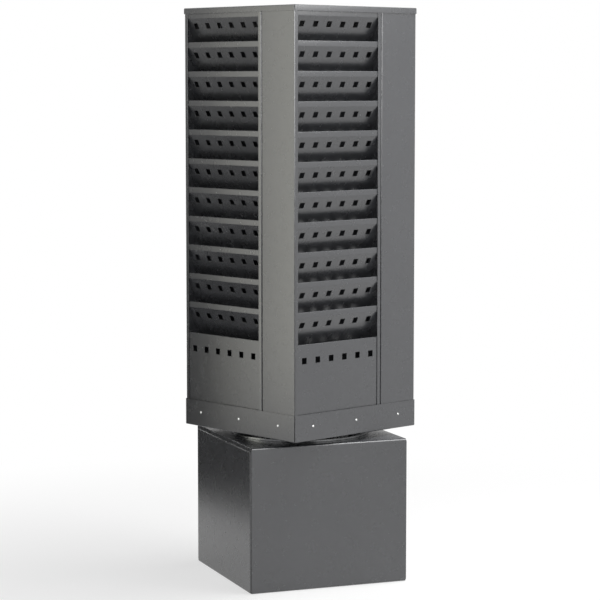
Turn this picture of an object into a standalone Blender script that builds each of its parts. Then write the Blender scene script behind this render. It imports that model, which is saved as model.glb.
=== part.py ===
"""Rotating magazine rack: four slotted sheet-steel racks in a pinwheel, turning on a box base."""
import math

import bmesh
import bpy
from mathutils import Matrix, Vector

# One rack: a folded shell with sloped pocket plates
RACK_WIDTH = 0.2525
RACK_DEPTH = 0.1034
RACK_GAP = 0.0014
RACK_HEIGHT = 0.9144
RACK_SHEET = 0.0010
RACK_BEND = 0.0022
RACK_FLANGE = 0.0095
RACK_NAMES = ("front", "right", "back", "left")

# Pocket plates: an upright lip, a plate that leans back into the rack, a weld flange
DIVIDER_PITCH = 0.0632
DIVIDER_LEAN = math.radians(25.0)
DIVIDER_BEND = 0.0040
FIRST_LIP_DROP = 0.0090
LIP_HEIGHT = 0.0120
HEM_HEIGHT = 0.0080
HEM_GAP = 0.0006
WELD_FLANGE = 0.0080

# Upright plate in front of the lowest pocket
PANEL_HEIGHT = 0.2050

# Rows of square holes
HOLE_SIZE = 0.0134
HOLE_SPACING = 0.0389
HOLE_MARGIN = 0.0180
DIVIDER_HOLE_DROP = 0.0185
PANEL_HOLE_DROP = 0.0350

# Trays below and above the racks
TRAY_SHEET = 0.0012
TRAY_BEND = 0.0020
TRAY_SEAM = 0.0024
PAN_WALL = 0.0575
CAP_WALL = 0.0128

# Box base, turned under the column
BASE_SIDE = 0.3600
BASE_HEIGHT = 0.3150
BASE_SHEET = 0.0012
BASE_BEND = 0.0042
RETURN_BEND = 0.0015
BASE_FLANGE = 0.0200
FOOT_FLANGE = 0.0160
SIDE_MARGIN = 0.0085
SIDE_EDGE = 0.0020
SIDE_FOOT = 0.0015
SIDE_BEND = 0.0018
SIDE_RIM = 0.0022
BASE_TURN = math.radians(-21.35)

# Turntable bearing
RACE_RADIUS = 0.1524
RACE_BORE = 0.1080
RACE_THICKNESS = 0.0040
BALL_CIRCLE = 0.1310
BALL_DIAMETER = 0.0095
BALL_COUNT = 12
BALL_PLAY = 0.0005
RACE_SPACING = 0.0064
CAGE_WIDTH = 0.0200
CAGE_THICKNESS = 0.0024

# Clearances: SEAT between pieces that rest on each other, PLAY round pieces set into a fold
SEAT = 0.0003
PLAY = 0.0005

# Facets of round stretches
BEND_STEPS = 2
GROOVE_STEPS = 3
RACE_STEPS = 40
BALL_SEGMENTS = 8
BALL_RINGS = 6
SAME_POINT = 0.000001
SHARP_ANGLE = math.radians(35.0)

# Sizes that follow from the driving ones
COLUMN_SIDE = RACK_WIDTH + RACK_DEPTH + RACK_GAP
RACK_LEFT = -COLUMN_SIDE / 2
RACK_RIGHT = RACK_LEFT + RACK_WIDTH
RACK_FRONT = -COLUMN_SIDE / 2
RACK_BACK = RACK_FRONT + RACK_DEPTH
INNER_LEFT = RACK_LEFT + RACK_SHEET + PLAY
INNER_RIGHT = RACK_RIGHT - RACK_SHEET - PLAY
LIP_FRONT = RACK_FRONT + RACK_SHEET + PLAY
INNER_BACK = RACK_BACK - RACK_SHEET - PLAY
HEM_DEPTH = 2 * RACK_SHEET + HEM_GAP
SWIVEL_HEIGHT = 2 * SEAT + 2 * RACE_THICKNESS + RACE_SPACING
PAN_BOTTOM = BASE_HEIGHT + SWIVEL_HEIGHT
RACK_BOTTOM = PAN_BOTTOM + TRAY_SHEET + SEAT
RACK_TOP = RACK_BOTTOM + RACK_HEIGHT
CAP_TOP = RACK_TOP + SEAT + TRAY_SHEET
TRAY_SIDE = COLUMN_SIDE + 2 * (PLAY + TRAY_SHEET)
SLOPE_RUN = INNER_BACK - RACK_SHEET - LIP_FRONT
SLOPE_DROP = SLOPE_RUN / math.tan(DIVIDER_LEAN)
LOWEST_LIP = max(
    PANEL_HEIGHT + LIP_HEIGHT,
    LIP_HEIGHT + SLOPE_DROP + WELD_FLANGE + RACK_SHEET + PLAY,
)
DIVIDER_COUNT = 1 + int((RACK_HEIGHT - FIRST_LIP_DROP - LOWEST_LIP) / DIVIDER_PITCH)
HOLE_ROOM = INNER_RIGHT - INNER_LEFT - 2 * HOLE_MARGIN - HOLE_SIZE
HOLE_COUNT = 1 + int(HOLE_ROOM / HOLE_SPACING)

X = Vector((1, 0, 0))
Y = Vector((0, 1, 0))
Z = Vector((0, 0, 1))


def clear_scene():
    for obj in list(bpy.data.objects):
        bpy.data.objects.remove(obj, do_unlink=True)


def make_material(name, colour, roughness, metallic):
    material = bpy.data.materials.new(name)
    material.use_nodes = True
    shader = material.node_tree.nodes["Principled BSDF"]
    shader.inputs["Base Color"].default_value = (*colour, 1.0)
    shader.inputs["Roughness"].default_value = roughness
    shader.inputs["Metallic"].default_value = metallic
    return material


def add_empty(name, parent=None, turn=0.0, height=0.0):
    empty = bpy.data.objects.new(name, None)
    bpy.context.collection.objects.link(empty)
    empty.parent = parent
    empty.rotation_euler.z = turn
    empty.location.z = height
    return empty


def add_piece(name, mesh, parent, height=0.0):
    piece = bpy.data.objects.new(name, mesh)
    bpy.context.collection.objects.link(piece)
    piece.parent = parent
    piece.location.z = height
    return piece


def finish_mesh(name, bm, material):
    mesh = bpy.data.meshes.new(name)
    bm.to_mesh(mesh)
    bm.free()
    mesh.materials.append(material)
    mesh.shade_smooth()
    mesh.set_sharp_from_angle(angle=SHARP_ANGLE)
    return mesh


def thicken(piece, sheet):
    """Gives a folded sheet its thickness on the inner side of its faces."""
    solid = piece.modifiers.new("sheet", "SOLIDIFY")
    solid.thickness = sheet
    solid.offset = -1.0
    solid.use_even_offset = True
    return piece


def rounded_path(corners, radii):
    """Points along a bent strip: each inner corner with a radius becomes an arc."""
    path = [Vector(corners[0])]
    for before, corner, after, radius in zip(corners, corners[1:], corners[2:], radii):
        if radius == 0:
            path.append(Vector(corner))
            continue
        come = (Vector(corner) - Vector(before)).normalized()
        leave = (Vector(after) - Vector(corner)).normalized()
        turn = come.angle_signed(leave)
        start = Vector(corner) - come * radius * math.tan(abs(turn) / 2)
        centre = start + Vector((come.y, -come.x)) * math.copysign(radius, turn)
        for step in range(BEND_STEPS + 1):
            arm = start - centre
            arm.rotate(Matrix.Rotation(-turn * step / BEND_STEPS, 2))
            point = centre + arm
            if (point - path[-1]).length > SAME_POINT:
                path.append(point)
    path.append(Vector(corners[-1]))
    return path


def sheet_from_rows(rows):
    """A bent sheet from rows of points; between two long rows every second cell stays open."""
    bm = bmesh.new()
    lines = [[bm.verts.new(point) for point in row] for row in rows]
    for upper, lower in zip(lines, lines[1:]):
        if len(upper) == len(lower) and len(upper) > 2:
            for cell in range(0, len(upper) - 1, 2):
                bm.faces.new((lower[cell], lower[cell + 1], upper[cell + 1], upper[cell]))
        else:
            bm.faces.new(lower + upper[::-1])
    return bm


def hole_edges():
    """Positions across a pocket plate: its two ends and both edges of every hole."""
    middle = (INNER_LEFT + INNER_RIGHT) / 2
    edges = [INNER_LEFT]
    for index in range(HOLE_COUNT):
        centre = middle + (index - (HOLE_COUNT - 1) / 2) * HOLE_SPACING
        edges += [centre - HOLE_SIZE / 2, centre + HOLE_SIZE / 2]
    return edges + [INNER_RIGHT]


def punched_rows(path, hole_start, hole_end):
    """Rows across a plate along its side view path, with the holes between two of its points."""
    rows = []
    for point in path:
        punched = point in (hole_start, hole_end)
        across = hole_edges() if punched else (INNER_LEFT, INNER_RIGHT)
        rows.append([(x, point.x, point.y) for x in across])
    return rows


def hem_corners(top):
    """Side view of a folded-over top edge, from the tip of the hem to the front face."""
    return [
        (LIP_FRONT + HEM_DEPTH, top - HEM_HEIGHT),
        (LIP_FRONT + HEM_DEPTH, top),
        (LIP_FRONT, top),
    ]


def make_divider_mesh(material):
    """One pocket plate, with its lip's bend at height zero."""
    down = Vector((math.sin(DIVIDER_LEAN), -math.cos(DIVIDER_LEAN)))
    bend = Vector((LIP_FRONT, 0.0))
    hole_start = bend + down * (DIVIDER_HOLE_DROP - HOLE_SIZE / 2)
    hole_end = bend + down * (DIVIDER_HOLE_DROP + HOLE_SIZE / 2)
    corners = hem_corners(LIP_HEIGHT) + [
        bend,
        hole_start,
        hole_end,
        (LIP_FRONT + SLOPE_RUN, -SLOPE_DROP),
        (LIP_FRONT + SLOPE_RUN, -SLOPE_DROP - WELD_FLANGE),
    ]
    hem_radius = HEM_DEPTH / 2
    path = rounded_path(corners, (hem_radius, hem_radius, DIVIDER_BEND, 0, 0, 0))
    bm = sheet_from_rows(punched_rows(path, hole_start, hole_end))
    return finish_mesh("divider", bm, material)


def make_panel_mesh(material):
    """Upright plate of the lowest pocket with its folded floor, standing at height zero."""
    hole_middle = PANEL_HEIGHT - PANEL_HOLE_DROP
    hole_start = Vector((LIP_FRONT, hole_middle + HOLE_SIZE / 2))
    hole_end = Vector((LIP_FRONT, hole_middle - HOLE_SIZE / 2))
    corners = hem_corners(PANEL_HEIGHT) + [
        hole_start,
        hole_end,
        (LIP_FRONT, 0.0),
        (INNER_BACK, 0.0),
    ]
    hem_radius = HEM_DEPTH / 2
    path = rounded_path(corners, (hem_radius, hem_radius, 0, 0, RACK_BEND))
    bm = sheet_from_rows(punched_rows(path, hole_start, hole_end))
    return finish_mesh("panel", bm, material)


def make_shell_mesh(material):
    """Back, two sides and the narrow front flanges of a rack, standing at height zero."""
    corners = [
        (RACK_RIGHT - RACK_FLANGE, RACK_FRONT),
        (RACK_RIGHT, RACK_FRONT),
        (RACK_RIGHT, RACK_BACK),
        (RACK_LEFT, RACK_BACK),
        (RACK_LEFT, RACK_FRONT),
        (RACK_LEFT + RACK_FLANGE, RACK_FRONT),
    ]
    path = rounded_path(corners, (RACK_BEND,) * 4)
    rows = [[(point.x, point.y, 0.0), (point.x, point.y, RACK_HEIGHT)] for point in path]
    return finish_mesh("shell", sheet_from_rows(rows), material)


def fold(bm, edge, out, turn, radius, length, corner=0.0, tip=0.0):
    """Carries a sheet on over one of its edges: a quarter bend, then a flat flange.

    out points across the edge, turn is the way the flange runs. corner and tip shorten
    the flange at both ends, after the bend and at its free edge.
    Returns the ends of the flange's straight part, near the bend and at the free edge.
    """
    first, second = edge
    along = (second.co - first.co).normalized()
    pairs = [edge]
    for step in range(1, BEND_STEPS + 1):
        share = step / BEND_STEPS
        swing = share * math.pi / 2
        shift = out * radius * math.sin(swing) + turn * radius * (1 - math.cos(swing))
        inset = along * corner * share
        pairs.append((
            bm.verts.new(first.co + shift + inset),
            bm.verts.new(second.co + shift - inset),
        ))
    reach = out * radius + turn * length
    pairs.append((
        bm.verts.new(first.co + reach + along * tip),
        bm.verts.new(second.co + reach - along * tip),
    ))
    for near, far in zip(pairs, pairs[1:]):
        bm.faces.new((near[1], near[0], far[0], far[1]))
    return pairs[-2], pairs[-1]


def flat_sheet(bm, half_x, half_y, height):
    """A rectangle facing up, with the edges in the order front, right, back, left."""
    signs = ((-1, -1), (1, -1), (1, 1), (-1, 1))
    verts = [bm.verts.new((sx * half_x, sy * half_y, height)) for sx, sy in signs]
    bm.faces.new(verts)
    return [(verts[k], verts[(k + 1) % 4]) for k in range(4)]


def make_tray_mesh(name, wall, material):
    """A square tray lying face down: a flat sheet with four walls and open corner seams."""
    bm = bmesh.new()
    half = TRAY_SIDE / 2 - TRAY_BEND
    reach_out = TRAY_SEAM / math.sqrt(2) - TRAY_BEND
    edges = flat_sheet(bm, half, half, 0.0)
    for edge, out in zip(edges, (-Y, X, Y, -X)):
        fold(bm, edge, out, -Z, TRAY_BEND, wall, reach_out, reach_out)
    return finish_mesh(name, bm, material)


def make_wrap_mesh(material):
    """Front, top and back of the base in one sheet, with side returns and foot flanges."""
    bm = bmesh.new()
    half_x = BASE_SIDE / 2 - RETURN_BEND
    half_y = BASE_SIDE / 2 - BASE_BEND
    flange_end = BASE_FLANGE - BASE_BEND + SEAT
    front, right, back, left = flat_sheet(bm, half_x, half_y, BASE_HEIGHT)
    for edge, out in ((right, X), (left, -X)):
        fold(bm, edge, out, -Z, RETURN_BEND, BASE_FLANGE, SEAT, flange_end)
    for edge, out, side in ((front, -Y, X), (back, Y, -X)):
        near, far = fold(bm, edge, out, -Z, BASE_BEND, BASE_HEIGHT - BASE_BEND)
        fold(bm, far, -Z, -out, BASE_BEND, FOOT_FLANGE)
        for ends, way in (((near[0], far[0]), -side), ((far[1], near[1]), side)):
            fold(bm, ends, way, -out, RETURN_BEND, BASE_FLANGE, SEAT, flange_end)
    return finish_mesh("base_wrap", bm, material)


def make_side_mesh(material):
    """Right side of the base: a shallow cover on the wrap's returns, close to one upright edge."""
    bm = bmesh.new()
    face = BASE_SIDE / 2 + SEAT + SIDE_RIM
    far = BASE_SIDE / 2 - SIDE_MARGIN - SIDE_BEND
    near = BASE_SIDE / 2 - SIDE_EDGE - SIDE_BEND
    foot = SIDE_FOOT + SIDE_BEND
    top = BASE_HEIGHT - SIDE_MARGIN - SIDE_BEND
    outline = ((-far, foot), (near, foot), (near, top), (-far, top))
    verts = [bm.verts.new((face, y, z)) for y, z in outline]
    bm.faces.new(verts)
    for index, out in enumerate((-Z, Y, Z, -Y)):
        edge = (verts[index], verts[(index + 1) % 4])
        fold(bm, edge, out, -X, SIDE_BEND, SIDE_RIM)
    return finish_mesh("base_side", bm, material)


def groove_profile():
    """Cross-section of a race: a flat ring lying at height zero with a ball groove on top."""
    ball_height = RACE_THICKNESS + RACE_SPACING / 2
    groove = BALL_DIAMETER / 2 + BALL_PLAY
    opening = math.acos((ball_height - RACE_THICKNESS) / groove)
    profile = [(RACE_BORE, 0.0), (RACE_RADIUS, 0.0), (RACE_RADIUS, RACE_THICKNESS)]
    for step in range(GROOVE_STEPS + 1):
        swing = opening * (1 - 2 * step / GROOVE_STEPS)
        profile.append((
            BALL_CIRCLE + groove * math.sin(swing),
            ball_height - groove * math.cos(swing),
        ))
    return profile + [(RACE_BORE, RACE_THICKNESS)]


def turned_mesh(name, profile, material):
    """A closed cross-section turned once round the swivel axis."""
    bm = bmesh.new()
    verts = [bm.verts.new((radius, 0.0, height)) for radius, height in profile]
    edges = [bm.edges.new((verts[k - 1], verts[k])) for k in range(len(verts))]
    bmesh.ops.spin(bm, geom=verts + edges, cent=(0, 0, 0), axis=Z, dvec=(0, 0, 0),
                   angle=2 * math.pi, steps=RACE_STEPS, use_merge=True)
    bmesh.ops.recalc_face_normals(bm, faces=bm.faces)
    return finish_mesh(name, bm, material)


def add_ball_cage(parent, height, material):
    """Flat ring between the races with the balls held in it."""
    low, high = -CAGE_THICKNESS / 2, CAGE_THICKNESS / 2
    inner, outer = BALL_CIRCLE - CAGE_WIDTH / 2, BALL_CIRCLE + CAGE_WIDTH / 2
    profile = [(inner, low), (outer, low), (outer, high), (inner, high)]
    cage = add_piece("swivel_ball_cage", turned_mesh("cage", profile, material), parent, height)
    bm = bmesh.new()
    for index in range(BALL_COUNT):
        swing = 2 * math.pi * (index + 0.5) / BALL_COUNT
        centre = Vector((math.cos(swing), math.sin(swing), 0)) * BALL_CIRCLE
        ball = bmesh.ops.create_uvsphere(bm, u_segments=BALL_SEGMENTS, v_segments=BALL_RINGS,
                                         radius=BALL_DIAMETER / 2)
        bmesh.ops.translate(bm, verts=ball["verts"], vec=centre)
    balls = add_piece("balls", finish_mesh("balls", bm, material), parent, height)
    balls.hide_render = True
    balls.display_type = "WIRE"
    union = cage.modifiers.new("balls", "BOOLEAN")
    union.operation = "UNION"
    union.object = balls
    return cage


def add_base(paint):
    """Box base turned under the column."""
    base_axis = add_empty("base_axis", turn=BASE_TURN)
    thicken(add_piece("base_wrap", make_wrap_mesh(paint), base_axis), BASE_SHEET)
    side_mesh = make_side_mesh(paint)
    for name, turn in (("base_side_right", 0.0), ("base_side_left", math.pi)):
        side = thicken(add_piece(name, side_mesh, base_axis), BASE_SHEET)
        side.rotation_euler.z = turn


def add_swivel(zinc):
    """Turntable bearing between the base and the pan."""
    lower = BASE_HEIGHT + SEAT
    upper = PAN_BOTTOM - SEAT
    swivel_axis = add_empty("swivel_axis")
    race_mesh = turned_mesh("race", groove_profile(), zinc)
    add_piece("swivel_lower_race", race_mesh, swivel_axis, lower)
    upper_race = add_piece("swivel_upper_race", race_mesh, swivel_axis, upper)
    upper_race.rotation_euler.x = math.pi
    add_ball_cage(swivel_axis, (lower + upper) / 2, zinc)


def add_column(paint):
    """Pan, four racks in a pinwheel and cap, all on the swivel axis."""
    column_axis = add_empty("column_axis")
    pan_mesh = make_tray_mesh("pan", PAN_WALL, paint)
    pan = thicken(add_piece("bottom_pan", pan_mesh, column_axis, PAN_BOTTOM), TRAY_SHEET)
    pan.rotation_euler.x = math.pi
    cap_mesh = make_tray_mesh("cap", CAP_WALL, paint)
    thicken(add_piece("top_cap", cap_mesh, column_axis, CAP_TOP), TRAY_SHEET)
    shell_mesh = make_shell_mesh(paint)
    panel_mesh = make_panel_mesh(paint)
    divider_mesh = make_divider_mesh(paint)
    first_bend = RACK_HEIGHT - FIRST_LIP_DROP - LIP_HEIGHT
    for quarter, side in enumerate(RACK_NAMES):
        rack_axis = add_empty(f"{side}_rack", column_axis, quarter * math.pi / 2, RACK_BOTTOM)
        thicken(add_piece(f"{side}_shell", shell_mesh, rack_axis), RACK_SHEET)
        thicken(add_piece(f"{side}_panel", panel_mesh, rack_axis), RACK_SHEET)
        for index in range(DIVIDER_COUNT):
            name = f"{side}_divider_{index + 1:02d}"
            bend = first_bend - index * DIVIDER_PITCH
            thicken(add_piece(name, divider_mesh, rack_axis, bend), RACK_SHEET)


def main():
    clear_scene()
    paint = make_material("charcoal_coat", (0.110, 0.112, 0.114), 0.45, 0.0)
    zinc = make_material("zinc_plate", (0.62, 0.63, 0.64), 0.35, 1.0)
    add_base(paint)
    add_swivel(zinc)
    add_column(paint)


main()
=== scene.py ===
"""Looks of the rotating magazine rack: powder coat, zinc, rivets, floor, light and camera."""
import math

import bmesh
import bpy
from mathutils import Matrix, Vector


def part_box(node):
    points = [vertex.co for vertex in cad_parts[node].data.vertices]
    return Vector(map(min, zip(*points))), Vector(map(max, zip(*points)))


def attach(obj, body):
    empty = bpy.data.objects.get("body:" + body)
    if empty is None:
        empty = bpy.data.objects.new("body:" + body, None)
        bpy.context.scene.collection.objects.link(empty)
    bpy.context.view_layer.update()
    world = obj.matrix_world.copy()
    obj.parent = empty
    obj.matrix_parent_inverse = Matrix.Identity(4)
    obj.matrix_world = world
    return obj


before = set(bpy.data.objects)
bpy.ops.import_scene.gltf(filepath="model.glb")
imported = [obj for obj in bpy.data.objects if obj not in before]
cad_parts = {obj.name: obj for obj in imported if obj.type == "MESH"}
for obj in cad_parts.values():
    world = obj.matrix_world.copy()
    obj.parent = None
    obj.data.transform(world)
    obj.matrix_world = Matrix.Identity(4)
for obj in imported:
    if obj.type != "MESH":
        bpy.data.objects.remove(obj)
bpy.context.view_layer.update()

# Camera: fitted to the photograph's edges and holes, in a square image
IMAGE_SIDE = 600
FOCAL_PIXELS = 2183.8
SENSOR = 36.0
CAMERA_AZIMUTH = math.radians(-42.455)
CAMERA_DISTANCE = 4.8014
CAMERA_HEIGHT = 1.0897
CAMERA_PITCH = math.radians(5.731)
CAMERA_REACH = 100.0

# Blind rivets through the walls of the pan
RIVETS_PER_WALL = 3
RIVET_SPACING = 0.1270
RIVET_RISE = 0.0310
RIVET_RADIUS = 0.0026
RIVET_HEIGHT = 0.0012
RIVET_BORE = 0.0009
RIVET_BORE_END = 0.000765
RIVET_RECESS = 0.0005
RIVET_SEAT = 0.0002
RIVET_STEPS = 28
RIVET_ARC_STEPS = 6

# Edges of the sheets
SAME_POINT = 0.00001
SHARP_ANGLE = math.radians(55.0)
EDGE_ROUND = 0.00018
EDGE_STEPS = 2

# Share of a noise texture's range that its values really fill
NOISE_RANGE = (0.3, 0.7)

# Powder coat: colours, gloss, flecks, slow waves and orange peel
COAT_DEEP = (0.0400, 0.0420, 0.0470, 1.0)
COAT_LIGHT = (0.0470, 0.0490, 0.0540, 1.0)
COAT_FLECK = (0.0610, 0.0630, 0.0680, 1.0)
COAT_EDGE_WEAR_AND_HIGHLIGHT = (0.1300, 0.1300, 0.1270, 1.0)
COAT_ROUGHNESS = (0.255, 0.280)
COAT_IOR = 1.54
COAT_GLOSS = 1.0
DRIFT_SCALE = 7.0
SHEEN_SCALE = 45.0
FLECK_SCALE = 1500.0
FLECK_SHARE = (-0.9, 0.7)
WAVE_SCALE = 5.0
WAVE_DEPTH = 0.004
WAVE_STRENGTH = 0.05
PEEL_SCALE = 620.0
PEEL_DEPTH = 0.00012
PEEL_STRENGTH = 0.06

# Lighter colour on sharp edges, found by how far a rounded normal turns from the face's own: thin coat
# there, and a painted highlight along the edges
EDGE_MASK_RADIUS = 0.0009
EDGE_COSINES = (0.98, 0.80)
EDGE_PATCH_SCALE = 60.0
EDGE_PATCH_SHARE = (0.25, 0.75)

# Painted shade in seams, found by how much of the near surroundings is open
SEAM_SHADE_COLOUR = (0.0100, 0.0100, 0.0100, 1.0)
SEAM_ROUGHNESS = 0.80
SEAM_REACH = 0.0018
SEAM_OPEN = 0.50
SEAM_DEEP = 0.10
SEAM_SAMPLES = 8

# Zinc plate of the bearing
ZINC_DARK = (0.240, 0.245, 0.250, 1.0)
ZINC_BRIGHT = (0.330, 0.335, 0.340, 1.0)
ZINC_ROUGHNESS = (0.16, 0.28)
SPANGLE_SCALE = 260.0
ROLLING_SCALE = 90.0
GRAIN_SCALE = 800.0
GRAIN_DEPTH = 0.00008
GRAIN_STRENGTH = 0.25

# Bright metal of the rivets
RIVET_DARK = (0.70, 0.70, 0.69, 1.0)
RIVET_BRIGHT = (0.82, 0.82, 0.81, 1.0)
RIVET_ROUGHNESS = (0.24, 0.40)
SCRATCH_SCALE = 1800.0
SCRATCH_DEPTH = 0.00003
SCRATCH_STRENGTH = 0.3

# Floor and light
WHITE = (1.0, 1.0, 1.0, 1.0)
WARM_WHITE = (1.0, 0.995, 0.905, 1.0)
AMBIENT = (0.10, 0.10, 0.10, 1.0)
FLOOR_DARK = (0.84, 0.84, 0.84, 1.0)
FLOOR_PALE = (0.86, 0.86, 0.86, 1.0)
FLOOR_CLOUD_SCALE = 3.0
FLOOR_ROUGHNESS = 0.9
FLOOR_GLOSS = 0.1
FLOOR_SIDE = 60.0
FLOOR_DROP = 0.0004
FLOOR_KEEP = 0.55
FLOOR_FADE = 1.6
FLOOR_GLOW = 0.66

# Upright edges that the reflection cards behind the stand share
CARD_CORNER_LEFT = (-0.30, 0.60)
CARD_CORNER_BACK = (0.05, 1.15)

QUARTERS = ("front", "right", "back", "left")


def add_node(tree, kind, **inputs):
    """A shader or geometry node with some of its inputs set or linked."""
    node = tree.nodes.new(kind)
    for name, value in inputs.items():
        put(tree, node.inputs[name.replace("_", " ")], value)
    return node


def put(tree, socket, value):
    """Links an output to a socket, or sets the socket's own value."""
    if isinstance(value, bpy.types.NodeSocket):
        tree.links.new(value, socket)
    else:
        socket.default_value = value


def new_material(name):
    material = bpy.data.materials.new(name)
    material.use_nodes = True
    tree = material.node_tree
    return material, tree, tree.nodes["Principled BSDF"]


def noise(tree, place, scale, detail=2.0):
    return add_node(tree, "ShaderNodeTexNoise", Vector=place, Scale=scale, Detail=detail).outputs["Fac"]


def map_range(tree, value, source, target=(0.0, 1.0), kind="LINEAR"):
    """Carries a value over from one range to another."""
    node = tree.nodes.new("ShaderNodeMapRange")
    node.interpolation_type = kind
    put(tree, node.inputs["Value"], value)
    node.inputs["From Min"].default_value, node.inputs["From Max"].default_value = source
    node.inputs["To Min"].default_value, node.inputs["To Max"].default_value = target
    return node.outputs["Result"]


def spread(tree, value, low, high):
    """Carries a noise value over to low and high."""
    return map_range(tree, value, NOISE_RANGE, (low, high))


def multiply(tree, first, second):
    node = tree.nodes.new("ShaderNodeMath")
    node.operation = "MULTIPLY"
    put(tree, node.inputs[0], first)
    put(tree, node.inputs[1], second)
    return node.outputs["Value"]


def blend(tree, share, first, second):
    """A colour between two others."""
    node = tree.nodes.new("ShaderNodeMix")
    node.data_type = "RGBA"
    put(tree, node.inputs[0], share)
    put(tree, node.inputs[6], first)
    put(tree, node.inputs[7], second)
    return node.outputs[2]


def bump(tree, height, distance, strength, normal=None):
    node = add_node(tree, "ShaderNodeBump", Height=height, Distance=distance, Strength=strength)
    if normal is not None:
        put(tree, node.inputs["Normal"], normal)
    return node.outputs["Normal"]


def edge_share(tree):
    """About 1 on sharp edges and 0 on flat faces."""
    rounded = add_node(tree, "ShaderNodeBevel", Radius=EDGE_MASK_RADIUS)
    plain = tree.nodes.new("ShaderNodeNewGeometry")
    along = tree.nodes.new("ShaderNodeVectorMath")
    along.operation = "DOT_PRODUCT"
    put(tree, along.inputs[0], rounded.outputs["Normal"])
    put(tree, along.inputs[1], plain.outputs["Normal"])
    return map_range(tree, along.outputs["Value"], EDGE_COSINES)


def seam_shade_share(tree):
    """About 1 deep in seams and folds, where shade is painted, and 0 on open faces."""
    node = add_node(tree, "ShaderNodeAmbientOcclusion", Distance=SEAM_REACH)
    node.samples = SEAM_SAMPLES
    return map_range(tree, node.outputs["AO"], (SEAM_OPEN, SEAM_DEEP))


def make_paint():
    """Semi-gloss charcoal powder coat: orange peel, slow drift, thin coat and a painted highlight on
    edges, painted shade in seams.
    """
    material, tree, shader = new_material("charcoal_powder_coat")
    place = tree.nodes.new("ShaderNodeTexCoord").outputs["Object"]
    drift = noise(tree, place, DRIFT_SCALE, detail=3.0)
    body = blend(tree, spread(tree, drift, 0.0, 1.0), COAT_DEEP, COAT_LIGHT)
    speckle = noise(tree, place, FLECK_SCALE)
    body = blend(tree, spread(tree, speckle, *FLECK_SHARE), body, COAT_FLECK)
    patches = spread(tree, noise(tree, place, EDGE_PATCH_SCALE, detail=3.0), *EDGE_PATCH_SHARE)
    # Lighter edges: thin coat, and a painted highlight along the sharp edges
    edge_wear_and_highlight = multiply(tree, edge_share(tree), patches)
    body = blend(tree, edge_wear_and_highlight, body, COAT_EDGE_WEAR_AND_HIGHLIGHT)
    # Painted shade: seams and folds get a dark colour and a rough coat
    seam_shade = seam_shade_share(tree)
    put(tree, shader.inputs["Base Color"], blend(tree, seam_shade, body, SEAM_SHADE_COLOUR))
    matt = tree.nodes.new("ShaderNodeMix")
    put(tree, matt.inputs[0], seam_shade)
    sheen = noise(tree, place, SHEEN_SCALE, detail=4.0)
    put(tree, matt.inputs[2], spread(tree, sheen, *COAT_ROUGHNESS))
    matt.inputs[3].default_value = SEAM_ROUGHNESS
    put(tree, shader.inputs["Roughness"], matt.outputs[0])
    shader.inputs["IOR"].default_value = COAT_IOR
    shader.inputs["Specular IOR Level"].default_value = COAT_GLOSS
    waves = bump(tree, noise(tree, place, WAVE_SCALE, detail=1.0), WAVE_DEPTH, WAVE_STRENGTH)
    peel = bump(tree, noise(tree, place, PEEL_SCALE), PEEL_DEPTH, PEEL_STRENGTH, normal=waves)
    put(tree, shader.inputs["Normal"], peel)
    return material


def make_zinc():
    """Bright zinc plating with a faint spangle and rolling marks."""
    material, tree, shader = new_material("bright_zinc")
    place = tree.nodes.new("ShaderNodeTexCoord").outputs["Object"]
    grains = add_node(tree, "ShaderNodeTexVoronoi", Vector=place, Scale=SPANGLE_SCALE)
    tint = add_node(tree, "ShaderNodeSeparateColor", Color=grains.outputs["Color"]).outputs["Red"]
    put(tree, shader.inputs["Base Color"], blend(tree, tint, ZINC_DARK, ZINC_BRIGHT))
    marks = noise(tree, place, ROLLING_SCALE, detail=4.0)
    put(tree, shader.inputs["Roughness"], spread(tree, marks, *ZINC_ROUGHNESS))
    shader.inputs["Metallic"].default_value = 1.0
    grain = bump(tree, noise(tree, place, GRAIN_SCALE), GRAIN_DEPTH, GRAIN_STRENGTH)
    put(tree, shader.inputs["Normal"], grain)
    return material


def make_rivet_metal():
    """Bright metal of the rivet heads, with fine scratches from setting."""
    material, tree, shader = new_material("rivet_metal")
    place = tree.nodes.new("ShaderNodeTexCoord").outputs["Object"]
    marks = noise(tree, place, SCRATCH_SCALE, detail=3.0)
    tint = spread(tree, marks, 0.0, 1.0)
    put(tree, shader.inputs["Base Color"], blend(tree, tint, RIVET_DARK, RIVET_BRIGHT))
    put(tree, shader.inputs["Roughness"], spread(tree, marks, *RIVET_ROUGHNESS))
    shader.inputs["Metallic"].default_value = 1.0
    put(tree, shader.inputs["Normal"], bump(tree, marks, SCRATCH_DEPTH, SCRATCH_STRENGTH))
    return material


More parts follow.
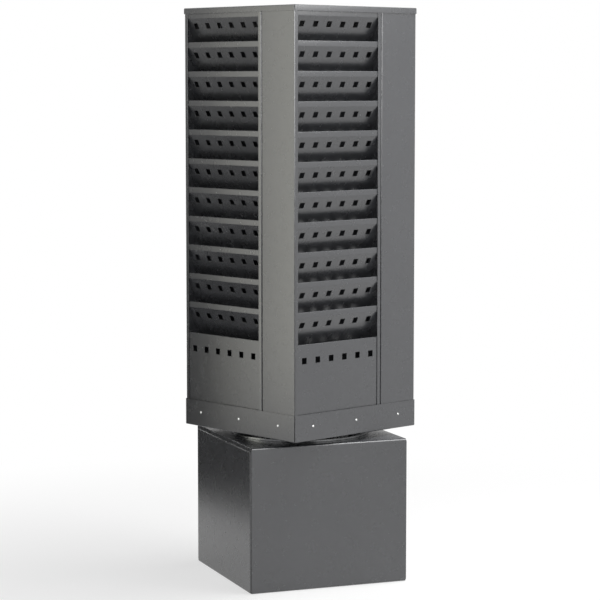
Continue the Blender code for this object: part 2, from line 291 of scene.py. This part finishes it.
def make_smoothing():
    """Modifier group: joins a solid's facets and shades its bends smooth between sharp edges."""
    tree = bpy.data.node_groups.new("smooth_bends", "GeometryNodeTree")
    tree.interface.new_socket("Geometry", in_out="INPUT", socket_type="NodeSocketGeometry")
    tree.interface.new_socket("Geometry", in_out="OUTPUT", socket_type="NodeSocketGeometry")
    shape = tree.nodes.new("NodeGroupInput").outputs["Geometry"]
    shape = add_node(tree, "GeometryNodeMergeByDistance", Geometry=shape, Distance=SAME_POINT).outputs[0]
    shape = add_node(tree, "GeometryNodeRemoveAttribute", Geometry=shape, Name="custom_normal").outputs[0]
    faces = tree.nodes.new("GeometryNodeSetShadeSmooth")
    faces.domain = "FACE"
    put(tree, faces.inputs[0], shape)
    faces.inputs["Shade Smooth"].default_value = True
    angle = tree.nodes.new("GeometryNodeInputMeshEdgeAngle").outputs["Unsigned Angle"]
    soft = tree.nodes.new("FunctionNodeCompare")
    soft.operation = "LESS_THAN"
    put(tree, soft.inputs["A"], angle)
    soft.inputs["B"].default_value = SHARP_ANGLE
    edges = tree.nodes.new("GeometryNodeSetShadeSmooth")
    edges.domain = "EDGE"
    put(tree, edges.inputs[0], faces.outputs[0])
    put(tree, edges.inputs["Shade Smooth"], soft.outputs["Result"])
    put(tree, tree.nodes.new("NodeGroupOutput").inputs[0], edges.outputs[0])
    return tree


def dress_nodes(paint, zinc):
    """Gives every CAD node its material, rounded sheet edges and smooth bends."""
    smoothing = make_smoothing()
    for name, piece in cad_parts.items():
        piece.material_slots[0].material = zinc if name.startswith("swivel") else paint
        piece.modifiers.new("smooth_bends", "NODES").node_group = smoothing
        edges = piece.modifiers.new("edges", "BEVEL")
        edges.width = EDGE_ROUND
        edges.segments = EDGE_STEPS
        edges.limit_method = "ANGLE"
        edges.angle_limit = SHARP_ANGLE
        normals = piece.modifiers.new("normals", "WEIGHTED_NORMAL")
        normals.keep_sharp = True


def rivet_mesh(metal):
    """A domed blind-rivet head on the XY plane with the hole of its mandrel."""
    profile = [(0.0, -RIVET_SEAT), (RIVET_RADIUS, -RIVET_SEAT)]
    for step in range(RIVET_ARC_STEPS + 1):
        swing = math.pi / 2 * step / RIVET_ARC_STEPS
        radius = RIVET_BORE + (RIVET_RADIUS - RIVET_BORE) * math.cos(swing)
        profile.append((radius, RIVET_HEIGHT * math.sin(swing)))
    profile += [
        (RIVET_BORE_END, RIVET_HEIGHT - RIVET_RECESS),
        (0.0, RIVET_HEIGHT - RIVET_RECESS),
    ]
    bm = bmesh.new()
    verts = [bm.verts.new((radius, 0.0, height)) for radius, height in profile]
    edges = [bm.edges.new(pair) for pair in zip(verts, verts[1:])]
    bmesh.ops.spin(bm, geom=verts + edges, cent=(0, 0, 0), axis=(0, 0, 1), dvec=(0, 0, 0),
                   angle=2 * math.pi, steps=RIVET_STEPS, use_merge=True)
    bmesh.ops.remove_doubles(bm, verts=bm.verts, dist=SAME_POINT)
    bmesh.ops.recalc_face_normals(bm, faces=bm.faces)
    mesh = bpy.data.meshes.new("rivet")
    bm.to_mesh(mesh)
    bm.free()
    mesh.materials.append(metal)
    mesh.shade_smooth()
    mesh.set_sharp_from_angle(angle=SHARP_ANGLE)
    return mesh


def add_rivets(metal):
    """A row of rivets on each wall of the pan."""
    low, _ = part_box("bottom_pan")
    mesh = rivet_mesh(metal)
    upright = Matrix.Rotation(math.pi / 2, 4, "X")
    for quarter, side in enumerate(QUARTERS):
        turn = Matrix.Rotation(quarter * math.pi / 2, 4, "Z")
        for index in range(RIVETS_PER_WALL):
            rivet = bpy.data.objects.new(f"pan_rivet_{side}_{index + 1}", mesh)
            bpy.context.scene.collection.objects.link(rivet)
            along = (index - (RIVETS_PER_WALL - 1) / 2) * RIVET_SPACING
            spot = Vector((along, low.y, low.z + RIVET_RISE))
            rivet.matrix_world = turn @ Matrix.Translation(spot) @ upright
            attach(rivet, "column")


def shown_rays(tree):
    """1 for rays that see the background: from the camera, and off or through shiny surfaces."""
    path = tree.nodes.new("ShaderNodeLightPath")
    total = path.outputs["Is Camera Ray"]
    for kind in ("Is Glossy Ray", "Is Transmission Ray"):
        join = tree.nodes.new("ShaderNodeMath")
        join.operation = "MAXIMUM"
        put(tree, join.inputs[0], total)
        put(tree, join.inputs[1], path.outputs[kind])
        total = join.outputs["Value"]
    return total


def make_floor():
    """Pale studio floor that keeps the shadow near the object and fades to white away from it."""
    material, tree, shader = new_material("pale_floor")
    place = tree.nodes.new("ShaderNodeTexCoord").outputs["Object"]
    clouds = noise(tree, place, FLOOR_CLOUD_SCALE)
    put(tree, shader.inputs["Base Color"], blend(tree, clouds, FLOOR_DARK, FLOOR_PALE))
    shader.inputs["Roughness"].default_value = FLOOR_ROUGHNESS
    shader.inputs["Specular IOR Level"].default_value = FLOOR_GLOSS
    away = tree.nodes.new("ShaderNodeVectorMath")
    away.operation = "LENGTH"
    put(tree, away.inputs[0], place)
    distance = away.outputs["Value"]
    fade = map_range(tree, distance, (FLOOR_KEEP, FLOOR_FADE), (FLOOR_GLOW, 1.0), "SMOOTHSTEP")
    white = add_node(tree, "ShaderNodeEmission", Color=WHITE, Strength=1.0)
    mix = tree.nodes.new("ShaderNodeMixShader")
    put(tree, mix.inputs[0], multiply(tree, shown_rays(tree), fade))
    put(tree, mix.inputs[1], shader.outputs["BSDF"])
    put(tree, mix.inputs[2], white.outputs["Emission"])
    put(tree, tree.nodes["Material Output"].inputs["Surface"], mix.outputs["Shader"])
    return material


def add_floor():
    mesh = bpy.data.meshes.new("floor")
    half = FLOOR_SIDE / 2
    corners = [(-half, -half, -FLOOR_DROP), (half, -half, -FLOOR_DROP),
               (half, half, -FLOOR_DROP), (-half, half, -FLOOR_DROP)]
    mesh.from_pydata(corners, [], [(0, 1, 2, 3)])
    mesh.materials.append(make_floor())
    floor = bpy.data.objects.new("floor", mesh)
    bpy.context.scene.collection.objects.link(floor)


def add_world():
    """White behind everything, and a weaker even light on the object."""
    world = bpy.data.worlds.new("studio")
    world.use_nodes = True
    bpy.context.scene.world = world
    tree = world.node_tree
    sky = tree.nodes["Background"]
    put(tree, sky.inputs["Color"], blend(tree, shown_rays(tree), AMBIENT, WHITE))


def add_softbox(name, azimuth, distance, height, size, power, aim, mirrored=True):
    """An area lamp at an azimuth in degrees round the object, turned to a height on its axis.

    One that isn't mirrored lights the object without showing in its gloss.
    """
    lamp = bpy.data.lights.new(name, "AREA")
    lamp.shape = "RECTANGLE"
    lamp.size, lamp.size_y = size
    lamp.energy = power
    holder = bpy.data.objects.new(name, lamp)
    bpy.context.scene.collection.objects.link(holder)
    turn = math.radians(azimuth)
    spot = Vector((math.sin(turn) * distance, -math.cos(turn) * distance, height))
    holder.location = spot
    holder.rotation_euler = (Vector((0, 0, aim)) - spot).to_track_quat("-Z", "Y").to_euler()
    holder.visible_glossy = mirrored


def add_lights():
    add_softbox("overhead", azimuth=45, distance=1.1, height=2.8, size=(2.0, 2.0), power=100.0, aim=0.0,
                mirrored=False)
    add_softbox("right_box", azimuth=70, distance=2.4, height=1.6, size=(1.0, 1.8), power=18.0, aim=0.7,
                mirrored=False)
    add_softbox("front_box", azimuth=-42, distance=5.2, height=1.85, size=(3.0, 1.5), power=32.0, aim=0.9)


def add_card(name, start, end, heights, glow, ramp=None, colour=WHITE):
    """An upright card that only shows in reflections, with its glow rising over a ramp of heights.

    Without a ramp of its own, the glow rises over the whole card.
    """
    mesh = bpy.data.meshes.new(name)
    bottom, top = heights
    corners = [(*start, bottom), (*end, bottom), (*end, top), (*start, top)]
    mesh.from_pydata(corners, [], [(0, 1, 2, 3)])
    material, tree, _ = new_material(name)
    place = tree.nodes.new("ShaderNodeTexCoord").outputs["Object"]
    height = add_node(tree, "ShaderNodeSeparateXYZ", Vector=place).outputs["Z"]
    strength = map_range(tree, height, ramp or heights, glow, "SMOOTHSTEP")
    light = add_node(tree, "ShaderNodeEmission", Color=colour, Strength=strength)
    put(tree, tree.nodes["Material Output"].inputs["Surface"], light.outputs["Emission"])
    mesh.materials.append(material)
    card = bpy.data.objects.new(name, mesh)
    bpy.context.scene.collection.objects.link(card)
    card.visible_camera = False
    card.visible_diffuse = False
    card.visible_shadow = False


def add_cards():
    """Dark cards for shaded reflections, bright ones for lit faces and the highlights on the bends."""
    add_card("left_card", start=(-1.601, 1.590), end=(-2.131, 0.742), heights=(0.075, 1.925),
             glow=(2.62, 2.62), colour=WARM_WHITE)
    add_card("left_back_card", start=(-0.62, 0.527), end=CARD_CORNER_LEFT, heights=(0.0, 1.6),
             glow=(0.08, 0.70), ramp=(0.3, 1.5))
    add_card("back_card", start=CARD_CORNER_LEFT, end=CARD_CORNER_BACK, heights=(0.0, 0.48),
             glow=(0.06, 4.0), ramp=(0.38, 0.45))
    add_card("right_back_card", start=CARD_CORNER_BACK, end=(1.00, 1.25), heights=(0.0, 0.60),
             glow=(0.15, 0.40))
    add_card("rim_card", start=(-0.35, 1.45), end=(0.95, 1.45), heights=(0.72, 1.15), glow=(0.4, 0.4))
    add_card("front_card", start=(-1.85, -0.75), end=(-0.60, -1.85), heights=(0.0, 2.0),
             glow=(0.03, 8.0), ramp=(0.6, 1.2))
    add_card("low_card", start=(-0.20, -1.60), end=(0.16, -1.55), heights=(0.70, 1.27),
             glow=(1.0, 5.0), ramp=(0.70, 0.95))
    add_card("right_card", start=(0.90, -1.56), end=(1.56, -0.90), heights=(0.30, 1.10),
             glow=(1.0, 1.12), ramp=(0.30, 0.60))
    add_card("key_card", start=(-0.14, -1.59), end=(0.985, -1.26), heights=(1.28, 2.7),
             glow=(2.6, 10.5), ramp=(1.28, 1.9))


def add_camera():
    camera = bpy.data.cameras.new("camera")
    camera.sensor_width = SENSOR
    camera.lens = SENSOR * FOCAL_PIXELS / IMAGE_SIDE
    camera.clip_end = CAMERA_REACH
    holder = bpy.data.objects.new("camera", camera)
    bpy.context.scene.collection.objects.link(holder)
    holder.location = (
        math.sin(CAMERA_AZIMUTH) * CAMERA_DISTANCE,
        -math.cos(CAMERA_AZIMUTH) * CAMERA_DISTANCE,
        CAMERA_HEIGHT,
    )
    holder.rotation_euler = (math.pi / 2 - CAMERA_PITCH, 0.0, CAMERA_AZIMUTH)
    bpy.context.scene.camera = holder


bpy.context.scene.view_settings.view_transform = "Standard"
dress_nodes(make_paint(), make_zinc())
add_rivets(make_rivet_metal())
add_floor()
add_world()
add_lights()
add_cards()
add_camera()
